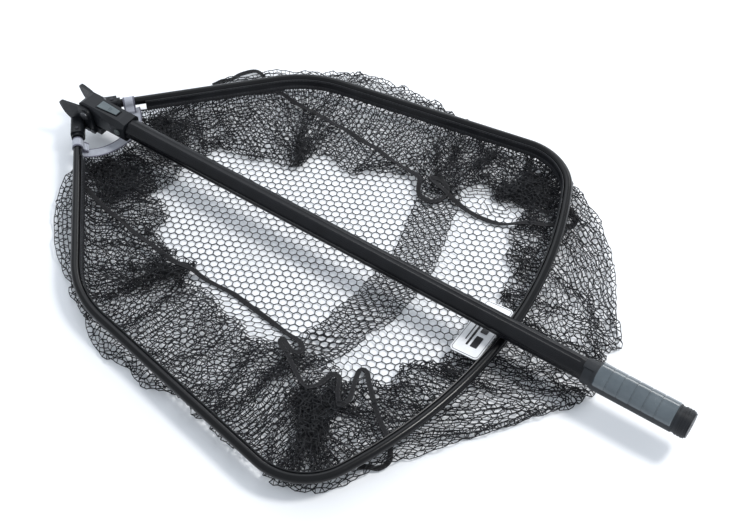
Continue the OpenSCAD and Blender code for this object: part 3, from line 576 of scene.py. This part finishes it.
        # a second-neighbour pair may share a vertex with another of its own set; each correction is split by the free
        # weights only, without counting
        ws = np.maximum(W[x] + W[y], 1e-6)
        rows.append((x, y, (W[x] / ws)[:, None], (W[y] / ws)[:, None]))
    prev = P.copy()
    for it in range(rounds):
        vel = (P - prev) * (0.90 if it < rounds * 0.8 else 0.7)
        sp = np.linalg.norm(vel, axis=1)
        vel *= np.minimum(1, 0.8 / np.maximum(sp, 1e-6))[:, None]
        prev = P.copy()
        P = P + vel * free[:, None]
        P[:, 2] -= 0.02 * free
        k = 0.9
        for x, y, wx, wy in ecw:
            dvec = P[y] - P[x]
            ln = np.sqrt((dvec * dvec).sum(1))
            er = (ln - e) / np.maximum(ln, 1e-6)
            er = np.where(er > 0, er * k, er * 0.55)[:, None] * dvec
            P[x] += wx * er
            P[y] -= wy * er
        if it % 2 == 0:
            for x, y, wx, wy in rows:
                dvec = P[y] - P[x]
                ln = np.sqrt((dvec * dvec).sum(1))
                lim = 0.62 * CELL
                er = np.minimum(ln - lim, 0) / np.maximum(ln, 1e-6)
                er = 0.4 * er[:, None] * dvec
                P[x] += wx * er
                P[y] -= wy * er
        P[anchor, :2] += (0.02 * hold[anchor])[:, None] * (home[anchor, :2] - P[anchor, :2])
        under = P[:, 2] < floor
        P[under, 2] = floor[under]
        # friction on the ground
        P[under, :2] += 0.75 * (prev[under, :2] - P[under, :2]) * np.clip(it / 400.0, 0.0, 1)
        # clear of the hoop tube and its band
        hi = np.where(P[:, 2] > -10.5)[0]
        if len(hi):
            i = np.clip(((P[hi, 0] + 80) / 2 + 0.5).astype(int), 0, len(gx) - 1)
            j = np.clip(((P[hi, 1] + 350) / 2 + 0.5).astype(int), 0, len(gy) - 1)
            d2 = gd[i, j]
            d3 = np.hypot(d2, P[hi, 2])
            push = np.clip(8.2 - d3, 0, 3) * free[hi]
            m = push > 0
            s_ = push[m] / np.maximum(d3[m], 1e-3)
            P[hi[m], 0] += s_ * d2[m] * gnx[i[m], j[m]]
            P[hi[m], 1] += s_ * d2[m] * gny[i[m], j[m]]
            P[hi[m], 2] += s_ * P[hi[m], 2]
        P[:, 2] = np.minimum(P[:, 2], np.where(pin, 99, -8.0))
    return dict(P=P, ed=ed, uv=uv, t=t, deg=deg, pin=pin, e=e, nb=nb, rim=at(rq, rs, np.arange(0, rs[-1], 4.0)))

# ---------------------------------------------------------------- the bag
ROUNDS = 1000
net = settle(ROUNDS)
P, UV, T = net["P"], net["uv"], net["t"]
E = np.vstack(net["ed"])
U0, U1, V0, V1 = RECT
mid = (UV[E[:, 0]] + UV[E[:, 1]]) / 2
te = (T[E[:, 0]] + T[E[:, 1]]) / 2
mu, mv = mid[:, 0], mid[:, 1]
du = np.where(mu > U1, (mu - U1) / WALL['f'], np.where(mu < U0, (mu - U0) / WALL['b'], 0))
dv = np.where(mv > V1, (mv - V1) / WALL['l'], np.where(mv < V0, (mv - V0) / WALL['r'], 0))
region = np.where(te < 0.004, 0, np.where(np.abs(du) > np.abs(dv), np.where(du > 0, 1, 2), np.where(dv > 0, 3, 4)))
um = (U0 + U1) / 2
region = np.where((region >= 3) & (mu > um), region + 2, region)
names = ["net_floor_cloth", "net_front_cloth", "net_rear_cloth", "net_left_cloth", "net_right_cloth", "net_left_cloth_front", "net_right_cloth_front"]
cad = ["net_floor", "net_front_wall", "net_rear_wall", "net_left_wall", "net_right_wall", "net_left_wall", "net_right_wall"]
rs_ = np.random.default_rng(5)
rad = 0.61 * rs_.uniform(0.9, 1.1, len(E))
net_pieces = []
for k in range(7):
    m = region == k
    o = strands(names[k], P[E[m, 0]], P[E[m, 1]], rad[m], "netting")
    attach(o, "hoop")
    if k < 5:
        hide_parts(cad[k])
    net_pieces.append((o, int(m.sum())))


def pattern_point(u, v, spread=7.0):
    """deformed place of flat-pattern points, averaged over the near vertices"""
    out = np.zeros((len(u), 3))
    for i in range(len(u)):
        d2 = (UV[:, 0] - u[i]) ** 2 + (UV[:, 1] - v[i]) ** 2
        near = np.argpartition(d2, 8)[:8]
        w = np.exp(-d2[near] / (2 * (spread * 0.6) ** 2)) + 1e-6
        out[i] = (P[near] * w[:, None]).sum(0) / w.sum()
    return out


def smooth_path(p, n):
    p = p.copy()
    for _ in range(n):
        p[1:-1] = 0.25 * p[:-2] + 0.5 * p[1:-1] + 0.25 * p[2:]
    return p


def frames(path, hint):
    t = np.gradient(path, axis=0)
    t /= np.linalg.norm(t, axis=1, keepdims=True)
    side = hint - (hint * t).sum(1, keepdims=True) * t
    side /= np.maximum(np.linalg.norm(side, axis=1, keepdims=True), 1e-6)
    for i in range(1, len(side)):
        if side[i] @ side[i - 1] < 0:
            side[i] *= -1
    side = smooth_path(side, 6)
    side -= (side * t).sum(1, keepdims=True) * t
    side /= np.linalg.norm(side, axis=1, keepdims=True)
    return side, np.cross(t, side)


# seam tapes: along the floor panel's two long edges, up to the rims
half = 3.3
tape_prof = np.array([(-half, -0.35), (-half, 0.35), (-half + 0.7, 0.62), (0, 0.5), (half - 0.7, 0.62), (half, 0.35), (half, -0.35), (0, -0.5)])
tapes = []


def pile_top(xy, r=7.0, pct=88):
    """height of the netting's upper side at plan points"""
    out = np.zeros(len(xy))
    for i, q in enumerate(xy):
        m = (np.abs(P[:, 0] - q[0]) < r) & (np.abs(P[:, 1] - q[1]) < r) & (P[:, 2] < -14.5)
        out[i] = np.percentile(P[m, 2], pct) if m.any() else LOW + 1
    return out


def route(pts, step=2.5):
    """smooth open line through given plan points"""
    q = np.array([2 * np.array(pts[0], float) - pts[1]] + [np.array(x, float) for x in pts] + [2 * np.array(pts[-1], float) - pts[-2]])
    out = []
    for i in range(1, len(q) - 2):
        a, b, c, d = q[i - 1], q[i], q[i + 1], q[i + 2]
        n = max(2, int(np.linalg.norm(c[:2] - b[:2]) / step))
        f = np.linspace(0, 1, n, endpoint=False)[:, None]
        out.append(0.5 * (2 * b + (c - a) * f + (2 * a - 5 * b + 4 * c - d) * f ** 2 + (3 * b - a - 3 * c + d) * f ** 3))
    out.append(q[-2:-1])
    return np.vstack(out)


# plan routes of the seam tapes over the settled netting; a third figure lifts a crossing, and a fourth sets the height
NEAR = [(20, -99, 0.5), (69, -108, 0.5), (103, -115, 0.5), (132, -120, 0.5), (163, -124, 0.5), (210, -127, 0.5), (260, -122, 0.5),
        (300, -120, 0.5), (336, -124, 0.5), (370, -128, 0.5), (395, -131, 0.5), (417, -134, 0.5), (431, -144, 1.0), (424, -154, 1.5),
        (407, -147, 2.5), (399, -142, 2.8), (400, -150, 2.0), (419, -161, 1.0), (450, -180, 0.5), (470, -187, 0.5), (480, -174, 0.5), (483, -155, 1.0),
        (494, -154, 1.0), (505, -172, 0.5), (519, -187, 0.5), (522, -171, 0.5), (512, -146, 1.0), (505, -126, 1.5), (513, -123, 1.5),
        (530, -141, 1.0), (550, -160, 0.5), (570, -176, 0.5), (590, -190, 0.5), (606, -209, 0.0, -28), (601, -226, 0, -30), (580, -236, 0, -31)]
FAR = [(96, 196, 0.0, -22), (117, 208, 0.5), (150, 209, 0.5), (203, 205, 0.5), (240, 203, 0.5), (306, 197, 0.5), (345, 191, 0.5), (375, 188, 0.5), (391, 182, 1.0),
       (402, 164, 1.0), (418, 158, 1.0), (433, 168, 1.0), (435, 187, 1.5), (420, 195, 1.5), (405, 191, 2.6), (416, 186, 3.0), (433, 184, 3.0), (465, 177, 1.0),
       (491, 176, 0.5), (520, 181, 0.5), (552, 195, 0.5), (585, 213, 0.0), (606, 234, 0, -29), (600, 252, 0, -31), (575, 262, 0, -31)]
REAR = [(22, 176, 0, -31), (38, 200, 0, -30), (47, 222, 0, -28), (60, 236, 0, -28), (80, 230, 0, -30), (92, 208, 0, -31)]
for nm, pts in (("seam_tape_right", NEAR), ("seam_tape_left", FAR), ("seam_tape_rear", REAR)):
    full_pts = [p_ if len(p_) == 4 else (*p_, 99) for p_ in pts]
    rt = route([p_[:3] for p_ in full_pts])
    z = smooth_path(pile_top(rt)[:, None], 14)[:, 0] + 1.0 + rt[:, 2]
    # fixed heights where the tape goes up to the rim or under the tube
    s_at = np.concatenate([[0], np.cumsum(np.linalg.norm(np.diff(rt[:, :2], axis=0), axis=1))])
    for p_ in full_pts:
        if p_[3] < 90:
            d_ = np.linalg.norm(rt[:, :2] - np.array(p_[:2]), axis=1)
            w_ = np.clip(1.25 - d_ / 14.0, 0, 1)
            z = z * (1 - w_) + p_[3] * w_
    z = smooth_path(z[:, None], 5)[:, 0]
    path = np.column_stack([rt[:, :2], np.maximum(z, LOW + 2.0)])
    tg = np.gradient(path, axis=0)
    tg /= np.linalg.norm(tg, axis=1, keepdims=True)
    hint = np.column_stack([-tg[:, 1], tg[:, 0], 0.22 * np.sin(s_at / 23.0) + 0.15 * np.sin(s_at / 9.0 + 1)])
    side = hint / np.linalg.norm(hint, axis=1, keepdims=True)
    side -= (side * tg).sum(1, keepdims=True) * tg
    side /= np.linalg.norm(side, axis=1, keepdims=True)
    upv = np.cross(tg, side)
    o = sweep(nm, path, side, upv, tape_prof, ["tape"])
    seg, sd, un = path[2:-2:2], side[2:-2:2], upv[2:-2:2]
    st = []
    for q in (-2.3, 2.3):
        x = seg[:-1] + sd[:-1] * q + un[:-1] * 0.6
        y = seg[1:] + sd[1:] * q + un[1:] * 0.6
        st.append((x + (y - x) * 0.15, x + (y - x) * 0.72))
    s_ = strands(nm + "_stitches", np.vstack([x for x, _ in st]), np.vstack([y for _, y in st]), 0.25, "thread", tip=0.2)
    for q in (o, s_):
        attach(q, "hoop")
    if nm == "seam_tape_left":
        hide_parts("seam_tapes")

# edge cord that closes the netting along the rim and under the neck strap
rim_xy = net["rim"]
cord_path = np.column_stack([rim_xy, np.full(len(rim_xy), -13.0)])
ct = np.roll(cord_path, -1, 0) - np.roll(cord_path, 1, 0)
ct /= np.linalg.norm(ct, axis=1, keepdims=True)
cs = np.column_stack([-ct[:, 1], ct[:, 0], 0 * ct[:, 0]])
oct_ = np.array([(1.15 * math.cos(t_), 1.15 * math.sin(t_)) for t_ in np.radians(np.arange(0, 360, 45))])
edge_o = sweep("net_edge_binding", cord_path, cs, np.tile([0.0, 0, 1.0], (len(cs), 1)), oct_, ["netting"], closed=True, sharp=80)
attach(edge_o, "hoop")

# first rows of cells below the strap, drawn between the hanging strands
centre = rim_xy.mean(0)
INW = 1.0 if ((centre - rim_xy[0]) @ cs[0][:2]) > 0 else -1.0
near_strap = np.where((rim_xy[:, 0] < 75) & (np.abs(rim_xy[:, 1]) < 75))[0]
ha, hb = [], []
for k_ in near_strap:
    n_ = (k_ + 1) % len(rim_xy)
    for row, (inn, dz) in enumerate(((2.6, 3.2), (5.2, 6.6), (8.0, 10.0))):
        wob = 1.1 * math.sin(k_ * 1.9 + row * 2.1)
        wob2 = 1.1 * math.sin(n_ * 1.9 + row * 2.1)
        ha.append(cord_path[k_] + cs[k_] * INW * (inn + wob) - np.array([0, 0, dz + 0.7 * wob]))
        hb.append(cord_path[n_] + cs[n_] * INW * (inn + wob2) - np.array([0, 0, dz + 0.7 * wob2]))
head_o = strands("net_header_rows", np.array(ha), np.array(hb), 0.6, "netting")
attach(head_o, "hoop")

# ---------------------------------------------------------------- rim band
hp = hoop_points(0.0, 3.0)
arc = np.concatenate([[0], np.cumsum(np.linalg.norm(np.diff(hp, axis=0), axis=1))])
sel = (arc > 67) & (arc < arc[-1] - 67)
hp_b, arc_b = hp[sel], arc[sel]
tan = np.gradient(hp, axis=0)[sel]
tan /= np.linalg.norm(tan, axis=1, keepdims=True)
inward = np.stack([tan[:, 1], -tan[:, 0], 0 * tan[:, 0]], 1)      # path runs clockwise, so this points in
mid_pt = np.array([300.0, 0.0])
if ((mid_pt - hp_b[len(hp_b) // 2]) @ inward[len(hp_b) // 2][:2]) < 0:
    inward = -inward
ups = np.tile([0.0, 0, 1.0], (len(hp_b), 1))
path = np.column_stack([hp_b, np.zeros(len(hp_b))])
band_prof = np.array([(6.25, 3.2), (6.25, -4), (6.3, -9.6), (6.15, -11.2), (6.9, -12.3), (7.9, -12.3), (8.6, -11.3), (8.3, -10.0), (7.75, -9.4), (7.6, -4), (7.7, 1.6), (7.5, 3.0), (6.9, 3.5)])
band = sweep("rim_band_cloth", path, inward, ups, band_prof, ["coated_band"])
at_s = np.arange(arc_b[0] + 3, arc_b[-1] - 5, 5.0)


def on_band(s, off, z):
    x = np.interp(s, arc_b, hp_b[:, 0]) + off * np.interp(s, arc_b, inward[:, 0])
    y = np.interp(s, arc_b, hp_b[:, 1]) + off * np.interp(s, arc_b, inward[:, 1])
    return np.column_stack([x, y, np.full(len(x), z)])


sa = np.vstack([on_band(at_s, 7.85, -8.4), on_band(at_s, 7.9, 1.2)])
sb = np.vstack([on_band(at_s + 3.1, 7.85, -8.4), on_band(at_s + 3.1, 7.9, 1.2)])
band_st = strands("rim_band_stitches", sa, sb, 0.32, "thread", tip=0.25)
# lacing that carries the net: a whipped cord through the hem
hs = np.arange(arc_b[0] + 2, arc_b[-1] - 2, 9.0)
ring = [(6.6, -12.9), (8.0, -13.5), (9.2, -12.2), (8.7, -10.4)]
ra_, rb_ = [], []
for i in range(len(ring) - 1):
    f0, f1 = i / (len(ring) - 1), (i + 1) / (len(ring) - 1)
    for dirn in (0,):
        ra_.append(np.array([on_band(np.array([s + 5 * f0]), ring[i][0], ring[i][1])[0] for s in hs]))
        rb_.append(np.array([on_band(np.array([s + 5 * f1]), ring[i + 1][0], ring[i + 1][1])[0] for s in hs]))
lace = strands("rim_lacing", np.vstack(ra_), np.vstack(rb_), 0.6, "netting", tip=0.4)
for q in (band, band_st, lace):
    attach(q, "hoop")
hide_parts("rim_band")
for (o, n_), dims in zip(net_pieces, ((U1 - U0, V1 - V0), (WALL['f'], V1 - V0 + WALL['l']), (WALL['b'], V1 - V0 + WALL['l']), ((U1 - U0) / 2 + WALL['b'] / 2, WALL['l']), ((U1 - U0) / 2 + WALL['b'] / 2, WALL['r']), ((U1 - U0) / 2 + WALL['f'] / 2, WALL['l']), ((U1 - U0) / 2 + WALL['f'] / 2, WALL['r']))):
    skin = n_ * 6.35 * 1.98 * 1e-6          # half the strands' own surface
    w_, l_ = min(dims) / 1000, max(dims) / 1000
    if skin < 0.3 * w_ * l_:
        l_ = skin / (0.36 * w_)

# ---------------------------------------------------------------- neck strap and its loops
ang = np.radians(np.linspace(-60.5, 60.5, 90))
r0 = 64.0
slack = 0.25 * np.sin(ang * 5.0) + 0.15 * np.sin(ang * 11 + 1)
spath = np.column_stack([-56 + (r0 + 0.35 * np.sin(ang * 7)) * np.cos(ang), (r0 + 0.35 * np.sin(ang * 7)) * np.sin(ang), -11.6 + slack * 0.6])
sside = np.column_stack([np.cos(ang), np.sin(ang), 0 * ang])
sup = np.tile([0.0, 0, 1.0], (len(ang), 1))
w2 = 8.3
sprof = np.array([(-w2, 0.0), (-w2 + 0.3, 0.45), (-w2 + 1.6, 0.62), (-w2 + 1.9, 0.42), (-3, 0.5), (0, 0.56), (3, 0.5), (w2 - 1.9, 0.42), (w2 - 1.6, 0.62), (w2 - 0.3, 0.45), (w2, 0.0),
                  (w2 - 0.3, -0.45), (w2 - 1.6, -0.58), (0, -0.5), (-w2 + 1.6, -0.58), (-w2 + 0.3, -0.45)])
sidx = [1, 1, 1, 0, 0, 0, 0, 1, 1, 1, 1, 1, 0, 0, 1, 1]
strap_o = sweep("neck_strap_webbing", spath, sside, sup, sprof, ["webbing", "webbing_edge"], index=sidx, sharp=40)
# bartack stitches at each end of the strap
ta, tb = [], []
for sgn in (-1, 1):
    for da in (52.0, 54.5):
        a_ = math.radians(sgn * da)
        c_ = np.array([-56 + r0 * math.cos(a_), r0 * math.sin(a_), -10.85])
        rd = np.array([math.cos(a_), math.sin(a_), 0])
        for j in range(9):
            q0 = c_ + rd * (-5.4 + j * 1.3)
            ta.append(q0 + np.array([-rd[1], rd[0], 0]) * -1.1)
            tb.append(q0 + np.array([-rd[1], rd[0], 0]) * 1.1 + rd * 0.6)
tack = strands("neck_strap_stitches", np.array(ta), np.array(tb), 0.3, "thread_pale", tip=0.2)
for q in (strap_o, tack):
    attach(q, "hoop")
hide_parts("neck_strap")
a1 = math.radians(47.42)
arm0 = np.array([153 - 233 / math.tan(a1), 20.0])
u1 = np.array([math.cos(a1), math.sin(a1)])
n1 = np.array([math.sin(a1), -math.cos(a1)])         # inwards
th = np.radians(np.linspace(-128, 205, 40))
# belt section in (inwards, up): tail, round the tube, back to the tail
cl = [(14.5, -8.75), (11.5, -8.6), (8.6, -8.3), (6.2, -7.6)] + [(-7.05 * math.cos(t_) * -1, 7.05 * math.sin(t_)) for t_ in np.radians(np.linspace(-62, 292, 46))][:0]
circ = [(7.0 * math.sin(t_), -7.0 * math.cos(t_)) for t_ in np.radians(np.linspace(30, -292, 46))]
cl = [(14.0, -9.3), (11.0, -9.0), (8.2, -8.3), (5.6, -7.0)] + circ[1:] + [(8.3, -4.6), (10.8, -6.3), (13.6, -7.55)]
cl = np.array(cl)
for _ in range(2):
    cl[1:-1] = 0.25 * cl[:-2] + 0.5 * cl[1:-1] + 0.25 * cl[2:]
dcl = np.gradient(cl, axis=0); dcl /= np.linalg.norm(dcl, axis=1, keepdims=True)
ncl = np.stack([-dcl[:, 1], dcl[:, 0]], 1)
rr = np.hypot(cl[:, 0], cl[:, 1])
sec = np.vstack([cl + ncl * 0.6, (cl - ncl * 0.6)[::-1]])
# keep the belt's inner face off the tube
sr = np.hypot(sec[:, 0], sec[:, 1])
sec *= np.maximum(1.0, 6.18 / sr)[:, None]
for side_, nm, nodeid in ((1, "left_strap_loop_webbing", "left_strap_loop"), (-1, "right_strap_loop_webbing", "right_strap_loop")):
    flip = np.array([1, side_])
    st_ = np.linspace(37.2, 53.8, 15)
    pth = np.column_stack([(arm0 + s_ * u1) * flip for s_ in st_]).T
    pth = np.column_stack([pth, np.zeros(len(st_))])
    sd = np.tile(np.append(n1 * flip, 0), (len(st_), 1))
    V = pth[:, None, :] + sd[:, None, :] * sec[None, :, 0, None] + np.array([0, 0, 1.0]) * sec[None, :, 1, None]
    # the belt's faces, with two rows at each end in the edge webbing, and caps at both ends
    f = np.abs(np.linspace(-1, 1, len(st_)))
    k = sec.shape[0]
    F, I = [], []
    for i in range(len(st_) - 1):
        for j in range(k):
            q = (i * k + j, (i + 1) * k + j, (i + 1) * k + (j + 1) % k, i * k + (j + 1) % k)
            F.append(q if side_ > 0 else q[::-1])
            I.append(1 if i in (0, 1, len(st_) - 3, len(st_) - 2) else 0)
    h_ = k // 2
    for base in (0, (len(st_) - 1) * k):
        for j in range(h_ - 1):
            F.append((base + j, base + j + 1, base + k - 2 - j, base + k - 1 - j)); I.append(1)
    o = mesh_obj(nm, V.reshape(-1, 3), F, ["webbing", "webbing_edge"], I, sharp=45)
    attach(o, "hoop"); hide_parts(nodeid)
    # box stitch on the tail
    ta, tb = [], []
    top = cl[3:0:-1] if False else None
    for s0 in np.arange(39.0, 52.0, 1.9):
        for off in (10.4, 12.9):
            z_ = np.interp(off, [8.3, 10.8, 13.6], [-4.6, -6.3, -7.55]) + 0.75
            p0 = (arm0 + s0 * u1 + n1 * off) * flip
            p1 = (arm0 + (s0 + 1.2) * u1 + n1 * off) * flip
            ta.append([*p0, z_]); tb.append([*p1, z_])
    bs = strands(nm.replace("webbing", "stitches"), np.array(ta), np.array(tb), 0.28, "thread_pale", tip=0.15)
    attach(bs, "hoop")

# ---------------------------------------------------------------- label


def rrect(w, h, r, n=8):
    pts = []
    for cx, cy, a in ((w / 2 - r, h / 2 - r, 0), (-w / 2 + r, h / 2 - r, 90), (-w / 2 + r, -h / 2 + r, 180), (w / 2 - r, -h / 2 + r, 270)):
        for i in range(n + 1):
            t_ = math.radians(a + 90 * i / n)
            pts.append((cx + r * math.cos(t_), cy + r * math.sin(t_)))
    return np.array(pts)


tilt = math.radians(-6)


def lab(p):
    """label's own plane -> design; a gentle bend across its length"""
    p = np.asarray(p, float)
    z = p[:, 2] + 0.5 - 1.1 * (p[:, 1] / 46) ** 2
    x = p[:, 0] * math.cos(tilt) + z * math.sin(tilt)
    zz = -p[:, 0] * math.sin(tilt) + z * math.cos(tilt)
    return np.column_stack([603 + x, p[:, 1], -8.4 + zz])


def lofted(name, rings, mats, index):
    """rings: list of (outline, z); joins the rings with side faces and leaves both ends open"""
    k = len(rings[0][0])
    V = np.vstack([np.column_stack([r, np.full(k, z)]) for r, z in rings])
    F, I = [], []
    for i in range(len(rings) - 1):
        for j in range(k):
            F.append((i * k + j, i * k + (j + 1) % k, (i + 1) * k + (j + 1) % k, (i + 1) * k + j)); I.append(index)
    return V, F, I


outs = [(rrect(39.6, 90.6, 5.4), 0.0), (rrect(40.6, 91.6, 5.9), 0.25), (rrect(41, 92, 6), 0.8), (rrect(40.6, 91.6, 5.9), 1.35), (rrect(39.6, 90.6, 5.4), 1.55)]
for g in (0.86, 0.7, 0.54, 0.38, 0.22, 0.08):
    outs.append((rrect(39.6, 90.6, 5.4) * [g, 1 - (1 - g) * 0.45] if g > 0.3 else rrect(39.6, 90.6, 5.4) * [g, 1 - (1 - g) * 0.45], 1.55))
V, F, I = lofted("x", outs, None, 0)
k = len(outs[0][0])
# close top and bottom with one face each; the strip helper below is not called
def strip(base):
    f = []
    h = k // 2
    idx = [base + j for j in range(k)]
    a = idx[:h][::-1]
    b = idx[h:]
    return a, b
last = (len(outs) - 1) * k
order = [last + j for j in range(k)]
F.append(tuple(order)); I.append(0)
F.append(tuple(range(k - 1, -1, -1))); I.append(0)
label_o = mesh_obj("label_patch_pvc", lab(V), F, ["label"], I, sharp=35)


def bar(cx, cy, w, h, r, z0=1.5, z1=1.8, hole=None):
    o_ = rrect(w, h, r) + [cx, cy]
    kk = len(o_)
    if hole:
        i_ = rrect(w - 2 * hole, h - 2 * hole, max(r - hole, 0.2)) + [cx, cy]
        Vv = np.vstack([np.column_stack([q, np.full(kk, z)]) for q, z in ((o_, z0), (o_, z1), (i_, z1), (i_, z0))])
        Ff = [(a * kk + j, a * kk + (j + 1) % kk, ((a + 1) % 4) * kk + (j + 1) % kk, ((a + 1) % 4) * kk + j) for a in range(4) for j in range(kk)]
    else:
        Vv = np.vstack([np.column_stack([o_, np.full(kk, z0)]), np.column_stack([o_, np.full(kk, z1)])])
        Ff = [(j, (j + 1) % kk, kk + (j + 1) % kk, kk + j) for j in range(kk)] + [tuple(kk + j for j in range(kk)), tuple(range(kk - 1, -1, -1))]
    return Vv, Ff


parts = [bar(0, 0, 37.4, 88.4, 4.6, hole=0.6)]
for cx, cy, w, h in ((5.5, 8, 9.5, 30), (5.5, -22, 9.5, 20), (-4.0, -4, 3.0, 54), (-9.4, -4, 1.4, 40)):
    n_seg = max(1, int(h // 12))
    for q in range(n_seg):
        hh = h / n_seg
        parts.append(bar(cx, cy - h / 2 + hh * (q + 0.5), w, hh - (1.6 if w > 5 else 0.0) + (0.02 if w <= 5 else 0), min(1.2, w * 0.3)))
Vp, Fp, base = [], [], 0
for Vv, Ff in parts:
    Vp.append(Vv); Fp += [tuple(i + base for i in f_) for f_ in Ff]; base += len(Vv)
print_o = mesh_obj("label_print", lab(np.vstack(Vp)), Fp, ["label_print"], sharp=35)
for q in (label_o, print_o):
    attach(q, "hoop")
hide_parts("label_patch")
